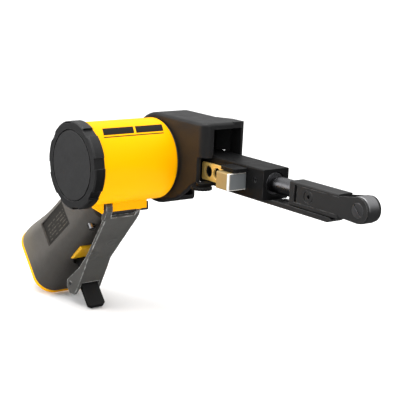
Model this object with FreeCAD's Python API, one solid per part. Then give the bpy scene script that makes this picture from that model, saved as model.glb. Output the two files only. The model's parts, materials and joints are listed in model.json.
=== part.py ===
"""Handheld air-driven belt file sander, every part a separate solid in assembly position.

Frame, in millimetres: the origin is the centre of the end cap's flat face, on the motor axis.
+X points along the belt arm, +Y runs along the motor axis from the end cap to the belt guard,
+Z is up. The grip has a frame of its own: s runs down the grip from the motor axis, y is the
same as Y, and v points forward out of the grip's front.
"""
import math
import os

import FreeCAD
import Part

os.makedirs("parts", exist_ok=True)

# Motor, along Y
CAP_R = 30.0
CAP_LENGTH = 8.3
CAP_NOTCHES = 8
HOUSING_R = 28.4
HOUSING_BORE_R = 24.5
HOUSING_END = 68.0
SPIGOT_R = 20.0
SPIGOT_END = 72.2
SHAFT_REAR_R = 3.95
SHAFT_R = 5.95
SHAFT_NOSE_R = 4.95
ROTOR_R = 15.8
VANES = 5
LINER_BORE_R = 17.6
LINER_OFFSET = 1.5

# Grip, in its own frame
GRIP_ANGLE = 41.0
GRIP_Y = 38.0
GRIP_END = 124.0
INLET_V = 12.0
INLET_R = 5.7
INLET_LENGTH = 12.0
LEVER_X = 6.0
LEVER_Z = -30.5
SADDLE_FRONT = 9.2
SADDLE_END = 56.6
LATCH_S = 97.0
LATCH_V = 45.5
VALVE_S = 88.0

# Belt head
BELT_Y = 88.6
DRIVE_R = 18.5
DRIVE_WIDTH = 14.0
GUARD_R = 32.0
GUARD_FRONT = 54.0
GUARD_NEAR = 69.3
GUARD_FAR = 96.0
ARM_NEAR = 77.9
ARM_FAR = 99.3
ARM_END = 105.9
ARM_TOP = 9.9
ARM_BOTTOM = -10.4
ROD_R = 5.6
SPRING_START = 54.0
WHEEL_X = 52.5
WHEEL_Y = 70.0

# Nose
NOSE_START = 125.8
NOSE_END = 169.0
NOSE_NEAR = 82.7
NOSE_FAR = 94.7
NOSE_WHEEL_X = 185.4
NOSE_WHEEL_R = 8.4
BAR_END = 164.3

EPS = 0.01


def vec(x, y, z):
    return FreeCAD.Vector(x, y, z)


def box(x0, x1, y0, y1, z0, z1):
    return Part.makeBox(x1 - x0, y1 - y0, z1 - z0, vec(x0, y0, z0))


def cyl_x(radius, x0, x1, y, z):
    return Part.makeCylinder(radius, x1 - x0, vec(x0, y, z), vec(1, 0, 0))


def cyl_y(radius, y0, y1, x=0.0, z=0.0):
    return Part.makeCylinder(radius, y1 - y0, vec(x, y0, z), vec(0, 1, 0))


def cyl_z(radius, z0, z1, x, y):
    return Part.makeCylinder(radius, z1 - z0, vec(x, y, z0), vec(0, 0, 1))


def ring_y(outer, inner, y0, y1, x=0.0, z=0.0):
    return cyl_y(outer, y0, y1, x, z).cut(cyl_y(inner, y0 - 1, y1 + 1, x, z))


def prism_y(points, y0, y1):
    """Solid with a side view given as (x, z) points, from y0 to y1."""
    wire = Part.makePolygon([vec(x, y0, z) for x, z in points + points[:1]])
    return Part.Face(wire).extrude(vec(0, y1 - y0, 0))


def prism_x(points, x0, x1):
    """Solid with a front view given as (y, z) points, from x0 to x1."""
    wire = Part.makePolygon([vec(x0, y, z) for y, z in points + points[:1]])
    return Part.Face(wire).extrude(vec(x1 - x0, 0, 0))


def prism_z(points, z0, z1):
    """Solid with a plan view given as (x, y) points, from z0 to z1."""
    wire = Part.makePolygon([vec(x, y, z0) for x, y in points + points[:1]])
    return Part.Face(wire).extrude(vec(0, 0, z1 - z0))


def fuse(*shapes):
    return shapes[0].multiFuse(list(shapes[1:])).removeSplitter()


def cut(shape, *tools):
    for tool in tools:
        shape = shape.cut(tool)
    return shape


def edges_along(shape, axis, test):
    """Straight edges along an axis (0, 1 or 2) whose middle point passes the test."""
    found = []
    for edge in shape.Edges:
        if len(edge.Vertexes) < 2:
            continue
        a, b = edge.Vertexes[0].Point, edge.Vertexes[-1].Point
        step = [abs(b[i] - a[i]) for i in range(3)]
        if step[axis] > 0.5 and sum(step) - step[axis] < 1e-4 and test((a + b) * 0.5):
            found.append(edge)
    return found


# The grip's frame: local x is s, local y is y, local z is v
GRIP = FreeCAD.Placement(vec(0, 0, 0), FreeCAD.Rotation(vec(0, 1, 0), 180 - GRIP_ANGLE))
COS = math.cos(math.radians(GRIP_ANGLE))
SIN = math.sin(math.radians(GRIP_ANGLE))
LEVER_S = -LEVER_X * COS - LEVER_Z * SIN
LEVER_V = LEVER_X * SIN - LEVER_Z * COS


def in_grip(shape):
    """Move a shape from the grip's frame to the assembly's."""
    moved = shape.copy()
    moved.Placement = GRIP.multiply(moved.Placement)
    return moved


def grip_section(s, v0, v1, half_width, radius):
    """Rounded rectangle across the grip at s."""
    y0, y1 = GRIP_Y - half_width, GRIP_Y + half_width
    bow = radius * (1 - math.sqrt(0.5))
    corners = [
        [(y0, v0 + radius), (y0 + bow, v0 + bow), (y0 + radius, v0)],
        [(y1 - radius, v0), (y1 - bow, v0 + bow), (y1, v0 + radius)],
        [(y1, v1 - radius), (y1 - bow, v1 - bow), (y1 - radius, v1)],
        [(y0 + radius, v1), (y0 + bow, v1 - bow), (y0, v1 - radius)],
    ]
    edges = []
    for i, corner in enumerate(corners):
        a, b, c = [vec(s, y, v) for y, v in corner]
        edges.append(Part.Arc(a, b, c).toShape())
        nxt = corners[(i + 1) % 4][0]
        edges.append(Part.makeLine(c, vec(s, nxt[0], nxt[1])))
    return Part.Wire(edges)


def grip_loft(sections, inset=0.0):
    wires = []
    for s, v0, v1, half_width, radius in sections:
        wires.append(grip_section(s, v0 + inset, v1 - inset, half_width - inset, radius - inset))
    return Part.makeLoft(wires, True, False)


# End cap: a screwed ring cap with notches round its rim and a groove in its face
cap = cyl_y(CAP_R, 0, CAP_LENGTH)
cap = cap.makeChamfer(0.8, [e for e in cap.Edges if e.Curve.TypeId == "Part::GeomCircle"][:2])
cap = cut(cap, cyl_y(26.3, 2.4, CAP_LENGTH + 1), ring_y(24.4, 23.5, -1, 0.8))
for i in range(CAP_NOTCHES):
    notch = box(28.3, 32, -1, CAP_LENGTH + 1, -3.7, 3.7)
    notch.rotate(vec(0, 0, 0), vec(0, 1, 0), -(12 + i * 360 / CAP_NOTCHES))
    cap = cap.cut(notch)

# Motor housing: the yellow barrel with the saddle that carries grip and lever
SADDLE = [(-24, -12), (SADDLE_FRONT, -12), (SADDLE_FRONT, -32.8), (8.0, -33.8), (0.5, -30.0), (-10, -26.6),
          (-24, -16)]
SADDLE_NEAR = [(2.0, -24), (SADDLE_FRONT, -24), (SADDLE_FRONT, -32.8), (8.0, -33.8), (2.0, -30.8)]
AIR_PORT = in_grip(Part.makeCylinder(4.0, 70.0, vec(14, GRIP_Y, INLET_V), vec(1, 0, 0)))
barrel = cyl_y(HOUSING_R, CAP_LENGTH, HOUSING_END)
far_rim = [e for e in barrel.Edges if abs(e.CenterOfMass.y - HOUSING_END) < EPS and len(e.Vertexes) == 1]
barrel = barrel.makeFillet(1.6, far_rim)
saddle = fuse(prism_y(SADDLE, 17.5, SADDLE_END), prism_y(SADDLE_NEAR, CAP_LENGTH, 17.5))
saddle = saddle.cut(prism_x([(-5, -22), (5.8, -22), (22.8, -36), (-5, -36)], -30, 30))
saddle = saddle.makeFillet(0.8, edges_along(saddle, 2, lambda m: m.x > 9 and m.y > 50))
housing = fuse(barrel, saddle, cyl_y(26.2, 2.6, CAP_LENGTH), cyl_y(SPIGOT_R, HOUSING_END, SPIGOT_END))
EAR_SLOTS = [box(-4, 12, 20.7, 28.0, -44, -26.4), box(-4, 8.4, 48.0, 51.6, -44, -26.4)]
housing = cut(housing, cyl_y(HOUSING_BORE_R, 2, 63.0), cyl_y(8.0, 60, SPIGOT_END + 1), AIR_PORT,
              cyl_y(1.5, 18.4, 56, LEVER_X, LEVER_Z), *EAR_SLOTS)

# Motor inside
liner = cut(cyl_y(24.4, 12.0, 58.0), cyl_y(LINER_BORE_R, 11, 59, 0, -LINER_OFFSET), AIR_PORT)
rear_plate = ring_y(24.4, 9.5, 7.0, 12.0)
front_plate = ring_y(24.4, 11.0, 58.0, 63.0)
rear_bearing = ring_y(9.5, SHAFT_REAR_R + 0.05, 7.0, 12.0)
front_bearing = ring_y(11.0, SHAFT_R + 0.05, 58.0, 63.0)
retainer = ring_y(23.5, 8.0, SPIGOT_END, 73.6)

# Rotor, turning about Y
shaft = fuse(cyl_y(SHAFT_REAR_R, 4.0, 12.3), cyl_y(SHAFT_R, 12.3, 81.6), cyl_y(SHAFT_NOSE_R, 81.6, 95.0))
core = ring_y(ROTOR_R, SHAFT_R, 12.6, 57.4)
vanes = []
for i in range(VANES):
    slot = box(8.5, 17, 12, 58, -0.8, 0.8)
    vane = box(9.6, 15.6, 12.8, 57.2, -0.75, 0.75)
    for solid in (slot, vane):
        solid.rotate(vec(0, 0, 0), vec(0, 1, 0), -i * 360 / VANES - 20)
    core = core.cut(slot)
    vanes.append(vane)
wheel_y0, wheel_y1 = BELT_Y - DRIVE_WIDTH / 2, BELT_Y + DRIVE_WIDTH / 2
hub = cut(ring_y(15.0, SHAFT_NOSE_R, wheel_y0, wheel_y1), cyl_y(8.5, 91.0, 97.0))
for i in range(5):
    angle = math.radians(72 * i)
    hub = hub.cut(cyl_y(1.9, 80, 97, 11.5 * math.cos(angle), 11.5 * math.sin(angle)))
tyre = ring_y(DRIVE_R, 15.0, wheel_y0, wheel_y1)
tyre = tyre.makeFillet(1.0, [e for e in tyre.Edges if len(e.Vertexes) == 1
                             and abs(e.BoundBox.XMax - DRIVE_R) < EPS and e.BoundBox.YLength < EPS])
nut_points = [(7.6 * math.cos(math.radians(60 * i)), 7.6 * math.sin(math.radians(60 * i))) for i in range(6)]
nut = prism_y(nut_points, 91.0, 95.2).cut(cyl_y(SHAFT_NOSE_R, 90, 96))

# Grip body: s, lowest v, highest v, half width, corner radius
GRIP_SECTIONS = [
    (8.0, -10.0, 27.6, 18.6, 8.0),
    (40.0, -8.6, 28.8, 18.8, 9.5),
    (70.0, -8.8, 30.0, 19.2, 10.0),
    (95.0, -11.2, 32.4, 20.0, 12.0),
    (112.0, -14.0, 36.4, 20.5, 13.0),
    (GRIP_END, -14.8, 38.8, 20.6, 14.0),
]
END_SECTION = (-14.8, 38.8, 20.6, 14.0)
outer = grip_loft(GRIP_SECTIONS)
chamber = grip_loft([(98.0, -9.0, 31.0, 18.0, 10.0), (125.0, -11.6, 35.6, 17.4, 11.0)])
boss = Part.makeCylinder(9.0, 40.0, vec(84, GRIP_Y, INLET_V), vec(1, 0, 0))
grip = outer.cut(chamber.cut(boss))
passage = Part.makeCylinder(4.5, 60.0, vec(70, GRIP_Y, INLET_V), vec(1, 0, 0))
bush_seat = Part.makeCylinder(8.0, 20.0, vec(112, GRIP_Y, INLET_V), vec(1, 0, 0))
valve_seat_bore = Part.makeCylinder(6.0, 30.0, vec(VALVE_S, GRIP_Y, 14.0), vec(0, 0, 1))
guide_pocket = Part.makeBox(18.0, 20.0, 14.0, vec(67.5, GRIP_Y - 10, 27.0))
label_pocket = Part.makeBox(35.5, 8.0, 18.8, vec(56.5, 12.8, -2.4))
screw_seat = Part.makeCylinder(2.6, 12.0, vec(39.5, 24.4, 26.0), vec(0, 0, 1))
screw_hole = Part.makeCylinder(1.2, 12.0, vec(39.5, 24.4, 17.0), vec(0, 0, 1))
grip = cut(grip, passage, bush_seat, valve_seat_bore, guide_pocket, label_pocket, screw_seat, screw_hole)
grip = cut(in_grip(grip), cyl_y(HOUSING_R, -5, 80), prism_y(SADDLE, 17.5, SADDLE_END), AIR_PORT, *EAR_SLOTS)
grip_front_clear = in_grip(Part.makeBox(26.0, 50.0, 20.0, vec(-6, 14, 22.5)))
grip = grip.cut(grip_front_clear.common(box(-1, 60, 10, 70, -60, -10)))
grip = max(grip.Solids, key=lambda solid: solid.Volume)

label_plate = in_grip(Part.makeBox(35.1, 1.0, 18.4, vec(56.7, 19.8, -2.2)))
grip_screw = in_grip(fuse(
    Part.makeCylinder(2.3, 4.4, vec(39.5, 24.4, 26.0), vec(0, 0, 1)),
    Part.makeCylinder(1.2, 9.0, vec(39.5, 24.4, 17.0), vec(0, 0, 1)),
).cut(Part.makeCylinder(1.1, 2.0, vec(39.5, 24.4, 28.9), vec(0, 0, 1))))

# Grip end: yellow rim, end plate with exhaust holes, inlet bush and silencer
rim_outer = grip_loft([(GRIP_END,) + END_SECTION, (GRIP_END + 2.6, -15.2, 39.2, 20.9, 14.3)])
rim_inner = grip_loft([(GRIP_END - 1, -10.8, 34.8, 16.6, 10.5), (GRIP_END + 4, -10.8, 34.8, 16.6, 10.5)])
rim = in_grip(rim_outer.cut(rim_inner))
end_plate = grip_loft([(120.6, -10.6, 34.6, 16.4, 10.0), (GRIP_END + 1.6, -10.6, 34.6, 16.4, 10.0)])
end_plate = end_plate.cut(Part.makeCylinder(9.2, 20.0, vec(115, GRIP_Y, INLET_V), vec(1, 0, 0)))
for row_v in (-6.2, 28.5):
    for col in range(-2, 3):
        hole = Part.makeCylinder(1.5, 20.0, vec(115, GRIP_Y + col * 4.6, row_v), vec(1, 0, 0))
        end_plate = end_plate.cut(hole)
end_plate = in_grip(end_plate)
hex_points = [(GRIP_Y + 10.4 * math.cos(math.radians(60 * i)), INLET_V + 10.4 * math.sin(math.radians(60 * i)))
              for i in range(6)]
hex_wire = Part.makePolygon([vec(GRIP_END + 1.7, y, v) for y, v in hex_points + hex_points[:1]])
INLET_MOUTH = GRIP_END + 7.0
bush = fuse(
    Part.makeCylinder(8.0, INLET_MOUTH - 112.2, vec(112.2, GRIP_Y, INLET_V), vec(1, 0, 0)),
    Part.Face(hex_wire).extrude(vec(5.3, 0, 0)),
)
bush = cut(bush, Part.makeCylinder(4.2, 30.0, vec(110, GRIP_Y, INLET_V), vec(1, 0, 0)),
           Part.makeCylinder(INLET_R, INLET_LENGTH, vec(INLET_MOUTH - INLET_LENGTH, GRIP_Y, INLET_V), vec(1, 0, 0)))
bush = in_grip(bush)
silencer = grip_loft([(101.0, -8.6, 30.6, 17.2, 9.5), (120.0, -10.4, 34.0, 16.8, 10.5)])
silencer = in_grip(silencer.cut(Part.makeCylinder(9.2, 40.0, vec(90, GRIP_Y, INLET_V), vec(1, 0, 0))))

# Throttle valve: yellow guide plate, seat, spring and stem, all square to the grip
guide = Part.makeBox(17.8, 19.8, 4.6, vec(67.6, GRIP_Y - 9.9, 27.1))
guide = guide.makeChamfer(1.0, [e for e in guide.Edges if e.CenterOfMass.z > 31.6])
guide = in_grip(guide.cut(Part.makeCylinder(4.15, 30.0, vec(VALVE_S, GRIP_Y, 20.0), vec(0, 0, 1))))
seat = in_grip(Part.makeCylinder(5.95, 8.5, vec(VALVE_S, GRIP_Y, 18.5), vec(0, 0, 1)).cut(
    Part.makeCylinder(4.1, 14.0, vec(VALVE_S, GRIP_Y, 18.0), vec(0, 0, 1))))
stem = in_grip(fuse(
    Part.makeCylinder(4.0, 22.8, vec(VALVE_S, GRIP_Y, 24.2), vec(0, 0, 1)),
    Part.makeCylinder(2.0, 5.2, vec(VALVE_S, GRIP_Y, 19.2), vec(0, 0, 1)),
))
spring_path = Part.makeHelix(1.5, 4.0, 2.7)
spring_start = Part.Wire([Part.makeCircle(0.35, vec(2.7, 0, 0), vec(0, 1, 0))])
valve_spring = Part.Wire(spring_path).makePipeShell([spring_start], True, True)
valve_spring.translate(vec(VALVE_S, GRIP_Y, 15.0))
valve_spring = in_grip(valve_spring)

# Throttle lever: a folded channel hinged in the saddle, bent outwards at its lower end
LEVER_FRONT = [(11.6, 30.4), (19.5, 33.3), (66.0, 42.8), (74.0, 46.4), (92.0, 53.2), (98.5, 54.2), (103.0, 50.5)]
LEVER_BACK = [(103.0, 44.5), (99.5, 41.0), (88.0, 41.4), (79.0, 41.6), (60.0, 38.8), (32.0, 33.2),
              (24.0, 31.2), (20.0, 27.5), (12.5, 24.2)]


def side_profile(points, y0, y1):
    wire = Part.makePolygon([vec(s, y0, v) for s, v in points + points[:1]])
    return Part.Face(wire).extrude(vec(0, y1 - y0, 0))


def taper(inset, s0=0.0):
    """Front view of the lever, from its wide hinge end to its narrower lower end."""
    wide, narrow = 13.5 - inset, 10.0 - inset
    points = [(s0, -wide), (24, -wide), (66, -narrow), (110, -narrow), (110, narrow), (66, narrow),
              (24, wide), (s0, wide)]
    wire = Part.makePolygon([vec(s, GRIP_Y + y, 0) for s, y in points + points[:1]])
    return Part.Face(wire).extrude(vec(0, 0, 80))


lever = side_profile(LEVER_FRONT + LEVER_BACK, 20, 56).common(taper(0.0))
inner_line = [(s, v - 2.3) for s, v in LEVER_FRONT[1:-1]]
hollow = side_profile([(16.5, 10), (16.5, 29.9)] + inner_line + [(112, 51.9), (112, 10)], 20, 56)
lever = cut(lever, hollow.common(taper(2.0)))
lever = lever.cut(Part.makeBox(30.0, 50.0, 50.0, vec(-10.5, 13, 10)).common(
    Part.makeBox(30.0, 19.6, 60.0, vec(-10.5, 28.2, 5))))
lever = lever.cut(Part.makeBox(30.0, 15.2, 30.0, vec(86.6, GRIP_Y - 7.6, 36)))
pivot = vec(LEVER_S, 20, LEVER_V)
lever = fuse(lever, Part.makeCylinder(3.9, 36.0, pivot, vec(0, 1, 0)).common(
    fuse(Part.makeBox(20, 5.0, 40, vec(6, 22.6, 10)), Part.makeBox(20, 2.8, 40, vec(6, 48.4, 10)))))
EAR_SIDE = [(12.0, 30.5), (19.5, 33.3), (22.5, 33.9), (22.5, 31.4), (17.0, 27.0)]
TURNED_EDGE = [(18.9, 29.0), (21.2, 31.8), (22.4, 32.1), (22.2, 31.1), (19.5, 28.3)]
lever = fuse(lever, side_profile(EAR_SIDE, 22.6, 25.0))
for dimple_s, dimple_y, dimple_v in ((45.3, 41.0, 52.2), (58.3, 31.0, 54.8)):
    lever = lever.cut(Part.makeSphere(14.0, vec(dimple_s, dimple_y, dimple_v)))
keep_ears = fuse(Part.makeBox(120, 23.0, 60, vec(17.8, 26.5, 5)), Part.makeBox(120, 31.0, 60, vec(17.8, 22, 5)),
                 Part.makeBox(20, 5.0, 60, vec(0, 22.6, 5)), Part.makeBox(20, 2.8, 60, vec(0, 48.4, 5)))
lever = lever.common(keep_ears)
lever = fuse(lever, side_profile(TURNED_EDGE, 26.0, 50.0))
lever = cut(lever, Part.makeCylinder(1.56, 40.0, vec(LEVER_S, 18, LEVER_V), vec(0, 1, 0)),
            Part.makeCylinder(1.5, 40.0, vec(LATCH_S, 18, LATCH_V), vec(0, 1, 0)))
lever = cut(in_grip(lever), box(9.8, 20, 20, 30, -33.9, -20), box(8.1, 20, 46, 54, -34.3, -20),
            box(-4, 20, 46, 54, -27.3, -20))
lever = max(lever.Solids, key=lambda solid: solid.Volume)
lever_pin = cyl_y(1.5, 18.4, 56.0, LEVER_X, LEVER_Z)

# Safety latch on the lever's lower end, with its pin and its spring
LATCH_SIDE = [(89.0, 50.2), (89.0, 68.2), (90.0, 69.4), (91.4, 69.4), (92.4, 68.2), (92.4, 53.0), (95.0, 50.8),
              (98.4, 48.4), (99.6, 43.8), (97.6, 39.8), (95.4, 39.8), (94.2, 43.0), (93.0, 44.8), (92.8, 48.6)]
latch = side_profile(LATCH_SIDE, 31.5, 45.0)
latch = latch.makeChamfer(2.2, [e for e in latch.Edges if 68.0 < e.CenterOfMass.z < 69.6
                                and e.BoundBox.YLength < EPS and e.BoundBox.XLength > 1.2])
latch = in_grip(latch.cut(Part.makeCylinder(1.56, 30.0, vec(LATCH_S, 25, LATCH_V), vec(0, 1, 0))))
latch_pin = in_grip(Part.makeCylinder(1.5, 20.6, vec(LATCH_S, 27.7, LATCH_V), vec(0, 1, 0)))
latch_spring = in_grip(Part.makeCylinder(2.9, 1.1, vec(LATCH_S, 30.15, LATCH_V), vec(0, 1, 0)).cut(
    Part.makeCylinder(1.5, 3.0, vec(LATCH_S, 29.5, LATCH_V), vec(0, 1, 0))))

# Belt guard: a round shell about the motor axis with a square mouth over the arm
BELT_SLOT_X = 9.6
MOUTH = [(0, 0), (0, GUARD_R), (GUARD_FRONT, GUARD_R), (GUARD_FRONT, 8.6), (20, 8.6)]
NEAR_WALL = [(0, 12.0), (0, 0), (14.4, -28.5), (20.8, -26.3), (26.6, -23.7), (32.1, -20.3), (36.4, -16.8),
             (40.7, -12.9), (44.6, -10.6), (48.2, -9.4), (48.2, 12.0)]
disc = cyl_y(GUARD_R, GUARD_NEAR, GUARD_FAR)
disc = disc.makeFillet(2.4, [e for e in disc.Edges if len(e.Vertexes) == 1
                             and abs(e.CenterOfMass.y - GUARD_NEAR) < EPS])
near_wall = prism_y(NEAR_WALL, GUARD_NEAR, GUARD_NEAR + 2.6)
near_wall = near_wall.makeFillet(1.6, [e for e in near_wall.Edges if abs(e.CenterOfMass.y - GUARD_NEAR) < EPS
                                       and e.CenterOfMass.x > 16 and e.CenterOfMass.z < 11])
mouth = prism_y(MOUTH, GUARD_NEAR, GUARD_FAR)
mouth_far = prism_z([(28, 94), (GUARD_FRONT, 94), (GUARD_FRONT, 101.2), (42.5, 101.2), (33.5, GUARD_FAR)],
                    27.0, GUARD_R)
mouth = mouth.makeFillet(6.0, edges_along(
    mouth, 2, lambda m: abs(m.x - GUARD_FRONT) < EPS and abs(m.y - GUARD_NEAR) < EPS))
mouth = mouth.makeFillet(2.4, edges_along(
    mouth, 0, lambda m: abs(m.z - GUARD_R) < EPS and abs(m.y - GUARD_NEAR) < EPS))
guard = fuse(disc, near_wall, mouth, mouth_far)
cavity = cyl_y(GUARD_R - 3, GUARD_NEAR + 2.6, GUARD_FAR + 1)
belt_slot = box(BELT_SLOT_X, 60, GUARD_NEAR + 2.6, 110, -40.0, -10.4)
upper_gap = prism_z([(0, 72.0), (44, 72.0), (47, 77.5), (60, 77.5), (60, 101.2), (42.5, 101.2), (33.5, GUARD_FAR),
                     (33.5, 98.0), (0, 98.0)], 10.2, 27.7)
arm_gap = box(18, 60, ARM_NEAR - 1.0, 110, -15.0, 10.2)
bosses = [(-19.2, 19.2), (-19.2, -19.2), (26.0, 25.6)]
guard = cut(guard, cavity, belt_slot, upper_gap, arm_gap, cyl_y(SPIGOT_R + 0.3, 60, 80))
for bx, bz in bosses:
    guard = fuse(guard, cyl_y(3.6, GUARD_NEAR + 2, GUARD_FAR, bx, bz))
    guard = guard.cut(cyl_y(1.5, 84, GUARD_FAR + 1, bx, bz))
guard = max(guard.Solids, key=lambda solid: solid.Volume)

# Guard cover on the far side, with a bevelled rim, splayed out beside the mouth
COVER_FAR = GUARD_FAR + 1.6
cover_disc = cyl_y(GUARD_R, GUARD_FAR, COVER_FAR)
cover_disc = cover_disc.makeChamfer(1.2, [e for e in cover_disc.Edges if len(e.Vertexes) == 1
                                          and abs(e.CenterOfMass.y - COVER_FAR) < EPS])
cover_top = prism_y([(0, 0), (0, GUARD_R), (33.5, GUARD_R), (33.5, 10.2), (20, 10.2)], GUARD_FAR, COVER_FAR)
cover_top = cover_top.makeChamfer(1.2, edges_along(
    cover_top, 0, lambda m: abs(m.z - GUARD_R) < EPS and abs(m.y - COVER_FAR) < EPS))
splay = prism_z([(31.5, GUARD_FAR), (33.5, GUARD_FAR), (42.5, 101.2), (GUARD_FRONT, 101.2), (GUARD_FRONT, 102.8),
                 (42.0, 102.8), (33.0, COVER_FAR), (31.5, COVER_FAR)], ARM_TOP + 0.02, GUARD_R)
splay_skirt = prism_z([(39.4, 99.42), (42.5, 101.2), (GUARD_FRONT, 101.2), (GUARD_FRONT, 102.8), (42.0, 102.8),
                       (39.4, 101.3)], 3.0, 12.0)
cover = fuse(cover_disc, cover_top, splay, splay_skirt, box(26.0, 33.4, GUARD_FAR, COVER_FAR, -10.4, 12.0),
             box(30.4, 33.4, GUARD_FAR, ARM_FAR - 0.1, -10.0, 11.0))
cover = cut(cover, box(33.4, 60, 90, 99.41, -15.0, ARM_TOP + 0.02), box(BELT_SLOT_X, 60, 90, 110, -40.0, -10.4))
for bx, bz in bosses:
    cover = cover.cut(cyl_y(1.6, 90, 100, bx, bz))
guard_screws = []
for bx, bz in bosses:
    screw = fuse(cyl_y(3.0, 97.6, 99.6, bx, bz), cyl_y(1.5, 86, 97.6, bx, bz)).cut(cyl_y(1.3, 98.4, 100, bx, bz))
    guard_screws.append(screw)
swivel_washer = ring_y(27.0, SPIGOT_R + 0.35, 68.2, GUARD_NEAR)

# Arm block with the rod bore, its bush and its spring
arm = fuse(box(33.5, ARM_END, ARM_NEAR, ARM_FAR, ARM_BOTTOM, ARM_TOP),
           box(22.0, 34.0, ARM_NEAR, 95.6, ARM_BOTTOM, ARM_TOP),
           box(24.3, 27.8, GUARD_NEAR + 2.6, ARM_NEAR, -8, 8))
arm = arm.makeFillet(1.0, edges_along(arm, 0, lambda m: m.x > 60))
bore_mouth = Part.makeCone(7.2, 8.2, 1.0, vec(ARM_END - 1.0, BELT_Y, 0), vec(1, 0, 0))
arm = cut(arm, cyl_x(7.2, SPRING_START, ARM_END + 1, BELT_Y, 0), bore_mouth,
          box(75.7, 88.8, ARM_NEAR - 1, 81.0, -6.5, 5.5), cyl_y(2.0, ARM_NEAR - 1, 81.2, 97.4, 1.9),
          cyl_y(3.2, ARM_NEAR - 1, 80.8, 51.0, -1.1), cyl_y(3.2, ARM_NEAR - 1, 80.8, 60.3, -1.1))
set_screw = cut(cyl_y(2.0, 78.6, 81.2, 97.4, 1.9), cyl_y(1.0, 78, 80.0, 97.4, 1.9))
bore_bush = cyl_x(7.2, 92.0, 104.9, BELT_Y, 0).cut(cyl_x(ROD_R + 0.08, 90, 106, BELT_Y, 0))
helix = Part.makeHelix(3.0, 15.0, 5.4)
helix_start = Part.Wire([Part.makeCircle(0.7, vec(5.4, 0, 0), vec(0, 1, 0))])
tension_spring = Part.Wire(helix).makePipeShell([helix_start], True, True)
tension_spring.rotate(vec(0, 0, 0), vec(0, 1, 0), 90)
tension_spring.translate(vec(SPRING_START + 0.75, BELT_Y, 0))

# Support bar under the lower belt run
BAR_SIDE = [(58.0, ARM_BOTTOM), (ARM_END + 1.5, ARM_BOTTOM), (ARM_END + 4.0, -9.4), (BAR_END - 2, -9.4),
            (BAR_END, -10.4), (BAR_END - 3.4, -12.6), (60.0, -12.6)]
support_bar = prism_y(BAR_SIDE, NOSE_NEAR, NOSE_FAR)
support_bar = support_bar.cut(fuse(box(112, 158, BELT_Y - 3.2, BELT_Y + 3.2, -10.2, -9.0),
                                   box(120, 124, BELT_Y - 3.2, BELT_Y + 3.2, -10.6, -9.0)))

# Bracket plate, release button with its hood, and the tracking thumbwheel under its lug
bracket = box(44.0, 74.6, 76.4, ARM_NEAR, -7.2, 4.8)
bracket = bracket.makeFillet(1.2, edges_along(bracket, 1, lambda m: True))
bracket = cut(bracket, cyl_y(3.95, 70, 80, 51.0, -1.1), cyl_y(3.95, 70, 80, 60.3, -1.1))
hood = box(74.4, 90.2, 67.0, ARM_NEAR, 5.9, 8.3)
hood = hood.makeFillet(2.4, edges_along(hood, 2, lambda m: m.y < 68))
button = box(76.0, 88.5, 63.4, 78.2, -6.2, 5.2)
button = button.makeFillet(2.2, edges_along(button, 2, lambda m: m.y < 64 and m.x > 85))
button = button.makeFillet(0.8, edges_along(button, 0, lambda m: m.y < 64))
lug = box(WHEEL_X - 3.0, WHEEL_X + 3.0, 66.6, ARM_NEAR, -10.2, -8.0)
lug = lug.makeFillet(2.0, edges_along(lug, 2, lambda m: m.y < 67))
lug = lug.cut(cyl_z(2.1, -11, -7, WHEEL_X, WHEEL_Y))
thumbwheel = fuse(cyl_z(7.2, -12.4, -10.6, WHEEL_X, WHEEL_Y), cyl_z(2.03, -10.6, -8.3, WHEEL_X, WHEEL_Y))
for i in range(18):
    angle = math.radians(20 * i)
    scallop = cyl_z(0.8, -14, -10.6 + EPS, WHEEL_X + 7.5 * math.cos(angle), WHEEL_Y + 7.5 * math.sin(angle))
    thumbwheel = thumbwheel.cut(scallop)

# Nose: rod, channel, side plates, pins
rod = cyl_x(ROD_R, SPRING_START + 16.6, NOSE_START + 2.0, BELT_Y, 0)
rod = rod.makeChamfer(0.6, [e for e in rod.Edges if len(e.Vertexes) == 1 and e.CenterOfMass.x < 75])
channel = box(NOSE_START, NOSE_END, NOSE_NEAR, NOSE_FAR, -9.0, 6.5)
channel = channel.makeFillet(0.8, edges_along(channel, 0, lambda m: True))
channel = cut(channel, box(130.0, NOSE_END + 1, NOSE_NEAR - 1, NOSE_NEAR + 1.3, -6.3, 4.8),
              box(130.0, NOSE_END + 1, NOSE_FAR - 1.3, NOSE_FAR + 1, -6.3, 4.8),
              box(162.0, NOSE_END + 1, NOSE_NEAR + 1.2, NOSE_FAR - 1.2, -6.3, 4.8),
              cyl_x(ROD_R, 120, NOSE_START + 2.0, BELT_Y, 0), cyl_y(3.6, 80, 97, 142.8, -0.6),
              box(130.0, 132.4, 80, 97, -6.3, 4.8))


def nose_plate(y0, y1):
    """Side plate that lies in the channel's window and carries the wheel at its round end."""
    strip = box(132.4, 172.0, y0, y1, -6.2, 4.7)
    head = fuse(cyl_y(8.0, y0, y1, NOSE_WHEEL_X, 0),
                prism_y([(169.4, -7.2), (NOSE_WHEEL_X, -8.0), (NOSE_WHEEL_X, 8.0), (169.4, 5.4)], y0, y1))
    return fuse(strip, head)


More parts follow.
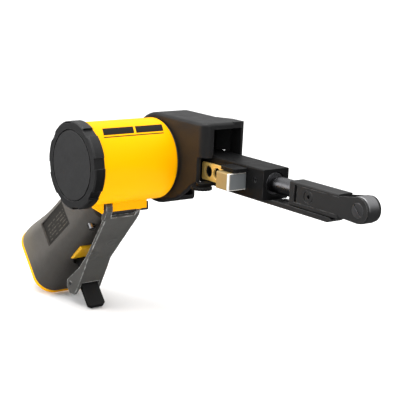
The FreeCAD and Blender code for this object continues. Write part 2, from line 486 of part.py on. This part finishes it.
near_plate = nose_plate(NOSE_NEAR + 0.1, NOSE_NEAR + 1.3)
far_plate = nose_plate(NOSE_FAR - 1.3, NOSE_FAR - 0.1)
near_plate = cut(near_plate, cyl_y(4.1, 80, 97, 142.8, -0.6), cyl_y(4.6, 80, 97, NOSE_WHEEL_X, 0))
far_plate = cut(far_plate, cyl_y(3.6, 80, 97, 142.8, -0.6), cyl_y(3.0, 80, 97, NOSE_WHEEL_X, 0))
pivot_pin = cyl_y(3.6, NOSE_NEAR + 0.3, NOSE_FAR - 0.1, 142.8, -0.6)
pivot_pin = pivot_pin.cut(cyl_y(1.3, 80, NOSE_NEAR + 2.2, 142.8, -0.6))
axle = fuse(cyl_y(4.6, NOSE_NEAR, NOSE_NEAR + 1.3, NOSE_WHEEL_X, 0), cyl_y(3.0, NOSE_NEAR, NOSE_FAR - 0.1, NOSE_WHEEL_X, 0))
driver_slot = box(-4.2, 4.2, 80, NOSE_NEAR + 0.7, -0.55, 0.55)
driver_slot.rotate(vec(0, 0, 0), vec(0, 1, 0), 46)
driver_slot.translate(vec(NOSE_WHEEL_X, 0, 0))
axle = axle.cut(driver_slot)
nose_wheel = ring_y(NOSE_WHEEL_R, 5.2, 84.3, 93.1, NOSE_WHEEL_X, 0)
nose_wheel = nose_wheel.makeFillet(0.7, [e for e in nose_wheel.Edges if len(e.Vertexes) == 1
                                         and abs(e.BoundBox.ZMax - NOSE_WHEEL_R) < EPS and e.BoundBox.YLength < EPS])
needle_sleeve = ring_y(5.2, 3.06, 84.4, 93.0, NOSE_WHEEL_X, 0)

# Black trim under the saddle's front edge, either side of the far ear, and round its far end
PAD = [(8.0, -33.8), (SADDLE_FRONT, -32.8), (SADDLE_FRONT, -33.8), (8.1, -34.7), (5.0, -33.2), (5.0, -32.28)]
PAD_END = [(SADDLE_FRONT - 0.6, -28.5), (SADDLE_FRONT, -33.8), (8.1, -34.7), (5.0, -33.2), (5.0, -28.5)]
pad_centre = prism_y(PAD, 28.4, 47.6)
pad_end = fuse(prism_y(PAD, 52.0, SADDLE_END), prism_y(PAD_END, SADDLE_END, SADDLE_END + 1.2))

PARTS = {
    "end_cap": cap, "motor_housing": housing, "cylinder_liner": liner,
    "rear_end_plate": rear_plate, "front_end_plate": front_plate, "rear_bearing": rear_bearing,
    "front_bearing": front_bearing, "swivel_retainer": retainer, "grip_body": grip, "label_plate": label_plate,
    "grip_screw": grip_screw, "grip_rim": rim, "grip_end_plate": end_plate, "air_inlet_bush": bush,
    "exhaust_silencer": silencer, "valve_guide": guide, "valve_seat": seat, "valve_spring": valve_spring,
    "lever_pin": lever_pin, "saddle_pad_centre": pad_centre, "saddle_pad_end": pad_end,
    "valve_stem": stem, "throttle_lever": lever, "latch_pin": latch_pin, "latch_spring": latch_spring,
    "safety_latch": latch, "rotor_shaft": shaft, "rotor_core": core, "drive_wheel_hub": hub,
    "drive_wheel_tyre": tyre, "drive_wheel_nut": nut, "guard_housing": guard, "guard_cover": cover,
    "swivel_washer": swivel_washer, "arm_block": arm, "arm_set_screw": set_screw, "rod_bush": bore_bush,
    "tension_spring": tension_spring, "support_bar": support_bar, "bracket_plate": bracket,
    "release_hood": hood, "release_button": button, "tracking_lug": lug, "tracking_wheel": thumbwheel,
    "tension_rod": rod, "nose_channel": channel, "nose_plate_near": near_plate, "nose_plate_far": far_plate,
    "nose_pin": pivot_pin, "wheel_axle": axle, "nose_wheel": nose_wheel, "wheel_bearing": needle_sleeve,
}
for i, vane in enumerate(vanes):
    PARTS["rotor_vane_%d" % (i + 1)] = vane
for i, screw in enumerate(guard_screws):
    PARTS["guard_screw_%d" % (i + 1)] = screw

for name, shape in PARTS.items():
    print(name, "solids", len(shape.Solids), "valid", shape.isValid(), "volume", round(shape.Volume, 1))
    shape.exportStep("parts/" + name + ".step")
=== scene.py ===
import json
import math

import bpy
from mathutils import Matrix, Vector


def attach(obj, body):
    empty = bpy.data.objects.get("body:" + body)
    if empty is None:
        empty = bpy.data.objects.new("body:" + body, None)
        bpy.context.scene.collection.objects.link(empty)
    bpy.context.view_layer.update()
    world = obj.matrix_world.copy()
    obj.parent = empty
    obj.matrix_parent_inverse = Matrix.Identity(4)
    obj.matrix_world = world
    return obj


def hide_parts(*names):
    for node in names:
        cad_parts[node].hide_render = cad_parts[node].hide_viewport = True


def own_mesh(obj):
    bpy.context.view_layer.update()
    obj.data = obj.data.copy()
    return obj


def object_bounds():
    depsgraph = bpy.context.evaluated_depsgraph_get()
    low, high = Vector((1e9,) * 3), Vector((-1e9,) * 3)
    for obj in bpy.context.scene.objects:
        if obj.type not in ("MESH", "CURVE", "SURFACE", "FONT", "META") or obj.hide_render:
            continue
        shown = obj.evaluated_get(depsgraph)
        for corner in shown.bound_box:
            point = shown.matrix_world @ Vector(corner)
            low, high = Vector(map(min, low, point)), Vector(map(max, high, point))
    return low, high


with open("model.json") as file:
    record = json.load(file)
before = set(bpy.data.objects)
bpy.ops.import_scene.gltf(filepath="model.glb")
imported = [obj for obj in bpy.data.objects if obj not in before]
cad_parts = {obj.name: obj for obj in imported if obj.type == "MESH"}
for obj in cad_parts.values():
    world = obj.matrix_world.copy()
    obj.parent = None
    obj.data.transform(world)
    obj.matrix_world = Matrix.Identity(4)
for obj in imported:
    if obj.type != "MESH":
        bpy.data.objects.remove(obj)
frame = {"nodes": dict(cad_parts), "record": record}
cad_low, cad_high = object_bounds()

nodes = frame["nodes"]
scene = bpy.context.scene


def add(name, data):
    """A new object in the scene."""
    made = bpy.data.objects.new(name, data)
    scene.collection.objects.link(made)
    return made


# ---------------------------------------------------------------- camera
AZIMUTH, ELEVATION, ROLL = math.radians(51.949), math.radians(12.787), math.radians(2.669)
DISTANCE, LENS, SENSOR = 0.730845, 102.917, 36
CLIP_NEAR, CLIP_FAR = 0.01, 200
TARGET = Vector((0.08206, 0.04613, -0.011298))

back = Vector((math.sin(AZIMUTH) * math.cos(ELEVATION), -math.cos(AZIMUTH) * math.cos(ELEVATION),
               math.sin(ELEVATION)))
right = Vector((math.cos(AZIMUTH), math.sin(AZIMUTH), 0))
up = back.cross(right)
rolled_right = right * math.cos(ROLL) + up * math.sin(ROLL)
rolled_up = up * math.cos(ROLL) - right * math.sin(ROLL)
camera_data = bpy.data.cameras.new("camera")
camera_data.lens = LENS
camera_data.sensor_width = SENSOR
camera_data.clip_start, camera_data.clip_end = CLIP_NEAR, CLIP_FAR
camera = add("camera", camera_data)
turn = Matrix((rolled_right, rolled_up, back)).transposed().to_4x4()
camera.matrix_world = Matrix.Translation(TARGET + back * DISTANCE) @ turn
scene.camera = camera
scene.view_settings.view_transform = "Standard"
scene.view_settings.look = "None"


# ---------------------------------------------------------------- node helpers
BEVEL_SAMPLES = 6
SHARP, OPEN = 0.86, 0.995  # cosine between a rounded and a plain normal, on an edge and on a face


class Tree:
    """Short forms for building one node tree."""

    def __init__(self, tree):
        self.tree = tree

    def node(self, kind, **settings):
        made = self.tree.nodes.new(kind)
        for key, value in settings.items():
            setattr(made, key, value)
        return made

    def put(self, socket, value):
        if isinstance(value, bpy.types.NodeSocket):
            self.tree.links.new(value, socket)
        else:
            socket.default_value = value

    def math(self, operation, a, b=0.0):
        made = self.node("ShaderNodeMath", operation=operation)
        self.put(made.inputs[0], a)
        self.put(made.inputs[1], b)
        return made.outputs[0]

    def times(self, a, b):
        return self.math("MULTIPLY", a, b)

    def span(self, value, low, high, to_low=0.0, to_high=1.0, smooth=False):
        made = self.node("ShaderNodeMapRange")
        if smooth:
            made.interpolation_type = "SMOOTHSTEP"
        for socket, number in zip(made.inputs[:5], (value, low, high, to_low, to_high)):
            self.put(socket, number)
        return made.outputs[0]

    def band(self, value, low, high, soft):
        """1 between low and high, 0 outside, with a soft step either side."""
        return self.times(self.span(value, low - soft, low + soft),
                          self.span(value, high + soft, high - soft))

    def mix(self, factor, a, b):
        made = self.node("ShaderNodeMix", data_type="RGBA")
        self.put(made.inputs[0], factor)
        for socket, value in zip(made.inputs[6:8], (a, b)):
            self.put(socket, value)
        return made.outputs[2]

    def split(self, vector):
        made = self.node("ShaderNodeSeparateXYZ")
        self.put(made.inputs[0], vector)
        return made.outputs[:3]

    def where(self, stretch=(1, 1, 1)):
        """The object's own place, in metres."""
        found = self.node("ShaderNodeTexCoord").outputs["Object"]
        if stretch == (1, 1, 1):
            return found
        made = self.node("ShaderNodeMapping")
        self.put(made.inputs["Vector"], found)
        self.put(made.inputs["Scale"], stretch)
        return made.outputs[0]

    def facing(self):
        """The surface's direction."""
        return self.node("ShaderNodeNewGeometry").outputs["Normal"]

    def noise(self, scale, detail, rough, stretch=(1, 1, 1)):
        made = self.node("ShaderNodeTexNoise")
        self.put(made.inputs["Vector"], self.where(stretch))
        self.put(made.inputs["Scale"], scale)
        self.put(made.inputs["Detail"], detail)
        self.put(made.inputs["Roughness"], rough)
        return made.outputs[0]

    def rounded(self, radius):
        """The direction that the surface would have with its edges rounded."""
        made = self.node("ShaderNodeBevel", samples=BEVEL_SAMPLES)
        self.put(made.inputs["Radius"], radius)
        return made.outputs[0]

    def edges(self, radius):
        """1 on sharp edges, 0 on open faces."""
        dot = self.node("ShaderNodeVectorMath", operation="DOT_PRODUCT")
        self.put(dot.inputs[0], self.rounded(radius))
        self.put(dot.inputs[1], self.facing())
        return self.span(dot.outputs["Value"], OPEN, SHARP, smooth=True)


def rgb(red, green, blue):
    return (red, green, blue, 1.0)


def shade(colour, factor):
    return tuple(min(1.0, part * factor) for part in colour[:3]) + (1.0,)


ROUGH_SPAN = 0.08
ROUGH_FINER = 2.7
WEAR_AND_HIGHLIGHT_SCALE = 220


def finish(name, colour, rough, metal=0.0, patch=(60, 0.10), grain=(2500, 0.05, 0.0001),
           stretch=(1, 1, 1), edge_wear_and_highlight=None, specular=0.5, bevel=0.0003, paint=None):
    """One procedural material.

    patch is the scale and strength of its colour patches. grain is the scale, strength and depth of
    its bump. wear is the colour, strength and width of its lighter edges: worn edges on some finishes
    and a painted highlight on others. paint adds markings; on the grip, button and end cap it also
    adds painted light, painted highlights, a painted reflection and painted shade.
    its bump. wear is the colour, strength and width of its worn edges. paint adds markings.
    """
    material = bpy.data.materials.new(name)
    material.use_nodes = True
    tree = Tree(material.node_tree)
    shader = material.node_tree.nodes["Principled BSDF"]
    patches = tree.noise(patch[0], 4.0, 0.55)
    base = tree.mix(patches, shade(colour, 1 - patch[1]), shade(colour, 1 + patch[1]))
    roughness = tree.span(tree.noise(patch[0] * ROUGH_FINER, 5.0, 0.6, stretch), 0.3, 0.7,
                          rough - ROUGH_SPAN, rough + ROUGH_SPAN)
    if paint:
        base = paint(tree, base)
    # Lighter edges: worn edges on some finishes, a painted highlight on others.
    if edge_wear_and_highlight:
        worn_and_lit_edges = tree.times(tree.edges(edge_wear_and_highlight[2]), tree.span(tree.noise(WEAR_AND_HIGHLIGHT_SCALE, 4.0, 0.65), 0.38, 0.62))
        base = tree.mix(tree.times(worn_and_lit_edges, edge_wear_and_highlight[1]), base, edge_wear_and_highlight[0])
    tree.put(shader.inputs["Base Color"], base)
    tree.put(shader.inputs["Roughness"], roughness)
    shader.inputs["Metallic"].default_value = metal
    shader.inputs["Specular IOR Level"].default_value = specular
    bump = tree.node("ShaderNodeBump")
    tree.put(bump.inputs["Strength"], grain[1])
    tree.put(bump.inputs["Distance"], grain[2])
    tree.put(bump.inputs["Height"], tree.noise(grain[0], 2.0, 0.6, stretch))
    if bevel:
        tree.put(bump.inputs["Normal"], tree.rounded(bevel))
    tree.put(shader.inputs["Normal"], bump.outputs[0])
    return material


# ---------------------------------------------------------------- markings, painted light and painted shade
MARK_START, MARK_END = 0.0045, 0.0530  # along the barrel
MARK_GAP, MARK_GAP_WIDTH, MARK_LEAN, MARK_SOFT = 0.0290, 0.0016, 0.010, 0.0001
BAR_LOW, BAR_HIGH, BAR_SOFT = 0.90, 1.14, 0.006  # angles round the barrel
LINE_LOW, LINE_HIGH, LINE_SOFT = 0.825, 0.855, 0.004
MARK_INK = rgb(0.012, 0.011, 0.009)


def barrel_mark(tree, base):
    """A plain dark bar with a slanted gap and a thin line beneath, in place of any lettering."""
    x, y, z = tree.split(tree.where())
    angle = tree.math("ARCTAN2", z, x)
    lean = tree.math("SUBTRACT", y, tree.times(angle, MARK_LEAN))
    along = tree.band(lean, MARK_START, MARK_END, MARK_SOFT)
    bar = tree.times(tree.band(angle, BAR_LOW, BAR_HIGH, BAR_SOFT), along)
    gap = tree.band(lean, MARK_GAP, MARK_GAP + MARK_GAP_WIDTH, MARK_SOFT)
    line = tree.times(tree.band(angle, LINE_LOW, LINE_HIGH, LINE_SOFT), along)
    mark = tree.math("MAXIMUM", tree.times(bar, tree.math("SUBTRACT", 1.0, gap)), line)
    return tree.mix(mark, base, MARK_INK)


GRIP_X, GRIP_Z = 0.7547, 0.6561  # the grip's direction is (-GRIP_X, -GRIP_Z), seen along Y


def grip_place(tree):
    """How far down the grip a point is, and how far across it towards its front."""
    x, y, z = tree.split(tree.where())
    down = tree.math("ADD", tree.times(x, -GRIP_X), tree.times(z, -GRIP_Z))
    across = tree.math("SUBTRACT", tree.times(x, GRIP_Z), tree.times(z, GRIP_X))
    return down, across


LABEL_DOWN, LABEL_ACROSS, LABEL_SOFT = (0.0595, 0.0885), (0.0010, 0.0140), 0.0002
RULE_WAVE = 2513.0  # radians per metre, which is a rule each 2.5 mm
RULE_STRENGTH, RULE_BREAKS = 0.42, 420
RULE_INK = rgb(0.20, 0.18, 0.15)


def label_lines(tree, base):
    """Faint rules across the label, with nothing readable in them."""
    down, across = grip_place(tree)
    rows = tree.span(tree.math("SINE", tree.times(across, RULE_WAVE)), 0.55, 0.75)
    inside = tree.times(tree.band(down, *LABEL_DOWN, LABEL_SOFT),
                        tree.band(across, *LABEL_ACROSS, LABEL_SOFT))
    broken = tree.span(tree.noise(RULE_BREAKS, 2.0, 0.5), 0.42, 0.52)
    faint = tree.times(tree.times(rows, inside), tree.times(broken, RULE_STRENGTH))
    return tree.mix(faint, base, RULE_INK)


CAP_FACE, CAP_RIM = 0.0245, 0.0250  # radii
CAP_GROOVE, CAP_GROOVE_SOFT = 0.0234, 0.0002
CAP_STEP = 0.0243
# A darker rim colour, with painted shade in the groove and on the rim's sides.
CAP_RIM_INK, CAP_GROOVE_PAINTED_SHADE, CAP_SIDE_PAINTED_SHADE = (rgb(0.014, 0.014, 0.0145), rgb(0.003, 0.003, 0.003),
                                             rgb(0.004, 0.004, 0.0045))


def cap_faces(tree, base):
    """Grey face, painted shade in the groove round it, a darker screwing rim and painted shade on the
    rim's sides.
    """
    x, y, z = tree.split(tree.where())
    radius = tree.math("SQRT", tree.math("ADD", tree.times(x, x), tree.times(z, z)))
    facing_y = tree.split(tree.facing())[1]
    shaded_side = tree.times(tree.span(radius, CAP_FACE, CAP_RIM), tree.span(facing_y, -0.75, -0.35))
    toned = tree.mix(tree.span(radius, CAP_STEP, CAP_RIM), base, CAP_RIM_INK)
    groove = tree.band(radius, CAP_GROOVE, CAP_FACE, CAP_GROOVE_SOFT)
    return tree.mix(shaded_side, tree.mix(groove, toned, CAP_GROOVE_PAINTED_SHADE), CAP_SIDE_PAINTED_SHADE)


# Painted light for the grip's back, a warmer colour for its low end and painted shade for its front.
GRIP_PAINTED_LIGHT, GRIP_WARM, GRIP_PAINTED_SHADE = (rgb(0.175, 0.163, 0.142), rgb(0.16, 0.135, 0.09),
                                   rgb(0.030, 0.027, 0.024))


def grip_painted_light_and_shade(tree, base):
    """Painted light towards the back of the grip, a lighter warmer low end and painted shade towards
    its front.
    """
    down, across = grip_place(tree)
    light = tree.mix(tree.span(across, 0.002, -0.012, 0.0, 0.80, smooth=True), base, GRIP_PAINTED_LIGHT)
    low = tree.times(tree.span(down, 0.100, 0.124, 0.0, 0.60, smooth=True),
                     tree.span(across, 0.016, 0.0))
    light = tree.mix(low, light, GRIP_WARM)
    return tree.mix(tree.span(across, 0.013, 0.024, 0.0, 0.55, smooth=True), light, GRIP_PAINTED_SHADE)


# A painted highlight for the button's corner and a painted dark reflection for its end.
BUTTON_PAINTED_HIGHLIGHT, BUTTON_PAINTED_REFLECTION = rgb(0.92, 0.92, 0.90), rgb(0.15, 0.16, 0.165)


def button_painted_highlight_and_reflection(tree, base):
    """Warm face towards the thumb, a painted highlight on the corner and a painted dark reflection on
    the end.
    """
    facing_x = tree.split(tree.facing())[0]
    highlighted = tree.mix(tree.band(facing_x, 0.30, 0.86, 0.06), base, BUTTON_PAINTED_HIGHLIGHT)
    return tree.mix(tree.span(facing_x, 0.88, 0.97), highlighted, BUTTON_PAINTED_REFLECTION)


# ---------------------------------------------------------------- finishes, by the record's slots
STEEL_EDGE = rgb(0.30, 0.30, 0.30)
FINISHES = {
    "cap_black": dict(colour=rgb(0.023, 0.023, 0.0235), rough=0.44, specular=0.33,
                      grain=(2600, 0.25, 0.0001), edge_wear_and_highlight=(rgb(0.10, 0.10, 0.10), 0.5, 0.0006),
                      paint=cap_faces),
    "housing_yellow": dict(colour=rgb(0.95, 0.415, 0.0), rough=0.36, specular=0.04,
                           patch=(25, 0.03), grain=(900, 0.05, 0.0001), paint=barrel_mark),
    "rim_yellow": dict(colour=rgb(0.93, 0.44, 0.002), rough=0.40, specular=0.1, patch=(40, 0.04),
                       grain=(1200, 0.05, 0.0001)),
    "guide_yellow": dict(colour=rgb(0.80, 0.42, 0.004), rough=0.45, patch=(60, 0.05)),
    "liner_iron": dict(colour=rgb(0.30, 0.30, 0.31), rough=0.5, metal=0.8,
                       grain=(900, 0.3, 0.0002)),
    # The bearing's near-white edges are a painted highlight.
    "bearing_steel": dict(colour=rgb(0.22, 0.22, 0.23), rough=0.28, metal=1.0, stretch=(1, 14, 1),
                          edge_wear_and_highlight=(rgb(0.80, 0.80, 0.80), 0.9, 0.0004)),
    "screw_steel": dict(colour=rgb(0.30, 0.30, 0.31), rough=0.34, metal=1.0),
    "dark_steel": dict(colour=rgb(0.10, 0.10, 0.105), rough=0.38, metal=0.9,
                       edge_wear_and_highlight=(STEEL_EDGE, 0.5, 0.0004)),
    "grip_grey": dict(colour=rgb(0.080, 0.073, 0.065), rough=0.62, specular=0.4, patch=(45, 0.10),
                      grain=(1500, 0.55, 0.0002), paint=grip_painted_light_and_shade),
    "label_dark": dict(colour=rgb(0.024, 0.022, 0.019), rough=0.46, specular=0.3,
                       grain=(3000, 0.1, 0.0001), paint=label_lines),
    "end_plate_black": dict(colour=rgb(0.035, 0.035, 0.035), rough=0.5, grain=(2000, 0.3, 0.0001)),
    "inlet_brass": dict(colour=rgb(0.62, 0.42, 0.16), rough=0.30, metal=1.0, stretch=(1, 1, 6)),
    "silencer_felt": dict(colour=rgb(0.20, 0.20, 0.19), rough=0.9, grain=(1800, 1.0, 0.0005),
                          bevel=0),
    "pad_rubber": dict(colour=rgb(0.022, 0.022, 0.022), rough=0.7, grain=(1600, 0.4, 0.0002)),
    "latch_black": dict(colour=rgb(0.006, 0.006, 0.0062), rough=0.44, specular=0.18,
                        grain=(2200, 0.2, 0.0001), edge_wear_and_highlight=(rgb(0.05, 0.05, 0.05), 0.6, 0.0005)),
    # The lever's pale edges are a painted highlight.
    "lever_grey": dict(colour=rgb(0.062, 0.061, 0.057), rough=0.40, patch=(55, 0.18),
                       grain=(2600, 0.3, 0.0001), edge_wear_and_highlight=(rgb(0.46, 0.46, 0.45), 1.0, 0.0014)),
    "hub_aluminium": dict(colour=rgb(0.68, 0.68, 0.69), rough=0.28, metal=1.0, stretch=(1, 10, 1)),
    "tyre_rubber": dict(colour=rgb(0.030, 0.030, 0.030), rough=0.75, grain=(1400, 0.6, 0.0003)),
    "vane_composite": dict(colour=rgb(0.26, 0.15, 0.07), rough=0.6),
    "guard_black": dict(colour=rgb(0.011, 0.011, 0.0115), rough=0.46, specular=0.24,
                        patch=(35, 0.12), grain=(1700, 0.35, 0.00015),
                        edge_wear_and_highlight=(rgb(0.075, 0.075, 0.075), 0.5, 0.0008)),
    "arm_black": dict(colour=rgb(0.006, 0.006, 0.0062), rough=0.46, specular=0.12, patch=(35, 0.12),
                      grain=(1900, 0.3, 0.00012), edge_wear_and_highlight=(rgb(0.09, 0.09, 0.09), 0.5, 0.0006)),
    # The nose's lighter edges are a painted highlight.
    "nose_steel": dict(colour=rgb(0.021, 0.021, 0.0214), rough=0.48, metal=0.20, specular=0.2,
                       patch=(50, 0.2), grain=(2200, 0.35, 0.0001), stretch=(0.35, 1, 1),
                       edge_wear_and_highlight=(rgb(0.20, 0.20, 0.20), 0.6, 0.0005)),
    "rod_steel": dict(colour=rgb(0.085, 0.085, 0.09), rough=0.30, metal=1.0, stretch=(8, 1, 1)),
    "bracket_zinc": dict(colour=rgb(0.80, 0.53, 0.14), rough=0.40, metal=0.40, specular=0.4,
                         patch=(120, 0.14), edge_wear_and_highlight=(rgb(0.85, 0.74, 0.52), 0.6, 0.0005)),
    "button_steel": dict(colour=rgb(0.33, 0.235, 0.095), rough=0.36, metal=0.30, patch=(120, 0.05),
                         grain=(1500, 0.08, 0.0001), paint=button_painted_highlight_and_reflection),
    "wheel_steel": dict(colour=rgb(0.19, 0.19, 0.195), rough=0.34, metal=1.0, patch=(80, 0.15),
                        stretch=(1, 12, 1)),
}
LOOKS = {name: finish(name, **how) for name, how in FINISHES.items()}
for part in frame["record"]["subparts"]:
    for slot in nodes[part["node"]].material_slots:
        slot.material = LOOKS[part["material_slot"]]

# ---------------------------------------------------------------- the spring that the rod squeezes
spring = add("squeezed_spring", nodes["tension_spring"].data.copy())
spring.matrix_world = nodes["tension_spring"].matrix_world.copy()
spring.data.materials.clear()
spring.data.materials.append(LOOKS["screw_steel"])
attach(spring, "head")
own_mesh(spring)
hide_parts("tension_spring")

# ---------------------------------------------------------------- floor and wall
FLOOR_DROP, FLOOR_HALF = 0.0005, 60
WALL_STEPS, WALL_RADIUS, WALL_TOP, WALL_GLOW = 96, 8, 40, 0.85
STAGE_PAINT = rgb(0.90, 0.90, 0.90)
FLOOR_Z = cad_low.z - FLOOR_DROP


def staged(name, points, faces, look):
    """A surface round the object, left out of its reflections."""
    mesh = bpy.data.meshes.new(name)
    mesh.from_pydata(points, [], faces)
    mesh.materials.append(look)
    made = add(name, mesh)
    made.visible_glossy = False
    return made


corners = [(FLOOR_HALF * x, FLOOR_HALF * y, FLOOR_Z) for x, y in ((-1, -1), (1, -1), (1, 1), (-1, 1))]
floor_look = finish("floor", STAGE_PAINT, 0.85, patch=(3, 0.01), grain=(300, 0.02, 0.0001), bevel=0)
floor = staged("floor", corners, [(0, 1, 2, 3)], floor_look)

# The wall glows by itself and lights nothing. It only closes the view above a far floor.
angles = [math.tau * step / WALL_STEPS for step in range(WALL_STEPS)]
ring = [(WALL_RADIUS * math.cos(angle), WALL_RADIUS * math.sin(angle)) for angle in angles]
panels = [(step, (step + 1) % WALL_STEPS, WALL_STEPS + (step + 1) % WALL_STEPS, WALL_STEPS + step)
          for step in range(WALL_STEPS)]
wall_look = finish("wall", STAGE_PAINT, 0.9, patch=(0.4, 0.01), grain=(30, 0.02, 0.0001), bevel=0)
wall_shader = wall_look.node_tree.nodes["Principled BSDF"]
wall_shader.inputs["Emission Color"].default_value = rgb(1, 1, 1)
wall_shader.inputs["Emission Strength"].default_value = WALL_GLOW
wall = staged("wall", [(x, y, FLOOR_Z) for x, y in ring] + [(x, y, WALL_TOP) for x, y in ring],
              panels, wall_look)
wall.visible_diffuse = wall.visible_shadow = False

# ---------------------------------------------------------------- world and lights
SKY_LOW, SKY_HIGH, SKY_DIM, SKY_BRIGHT = -0.05, 0.80, 0.12, 1.50

world = scene.world or bpy.data.worlds.new("world")
scene.world = world
world.use_nodes = True
sky = Tree(world.node_tree)
background = world.node_tree.nodes["Background"]
height = sky.split(sky.node("ShaderNodeTexCoord").outputs["Generated"])[2]
sky.put(background.inputs["Color"], rgb(1, 1, 1))
sky.put(background.inputs["Strength"],
        sky.span(height, SKY_LOW, SKY_HIGH, SKY_DIM, SKY_BRIGHT, smooth=True))

AIM = Vector((0.04, 0.05, -0.01))
SOFTBOXES = (  # name, place, size, watts
    ("top_box", (0.05, -0.10, 0.90), (0.9, 0.7), 9.0),
    ("left_box", (-0.55, -0.75, 0.35), (0.5, 0.7), 5.0),
    ("right_box", (0.95, 0.10, 0.25), (0.25, 0.6), 1.2),
)
for name, place, size, watts in SOFTBOXES:
    lamp = bpy.data.lights.new(name, "AREA")
    lamp.shape = "RECTANGLE"
    lamp.size, lamp.size_y = size
    lamp.energy = watts
    held = add(name, lamp)
    held.location = place
    held.rotation_mode = "QUATERNION"
    held.rotation_quaternion = (Vector(place) - AIM).to_track_quat("Z", "Y")
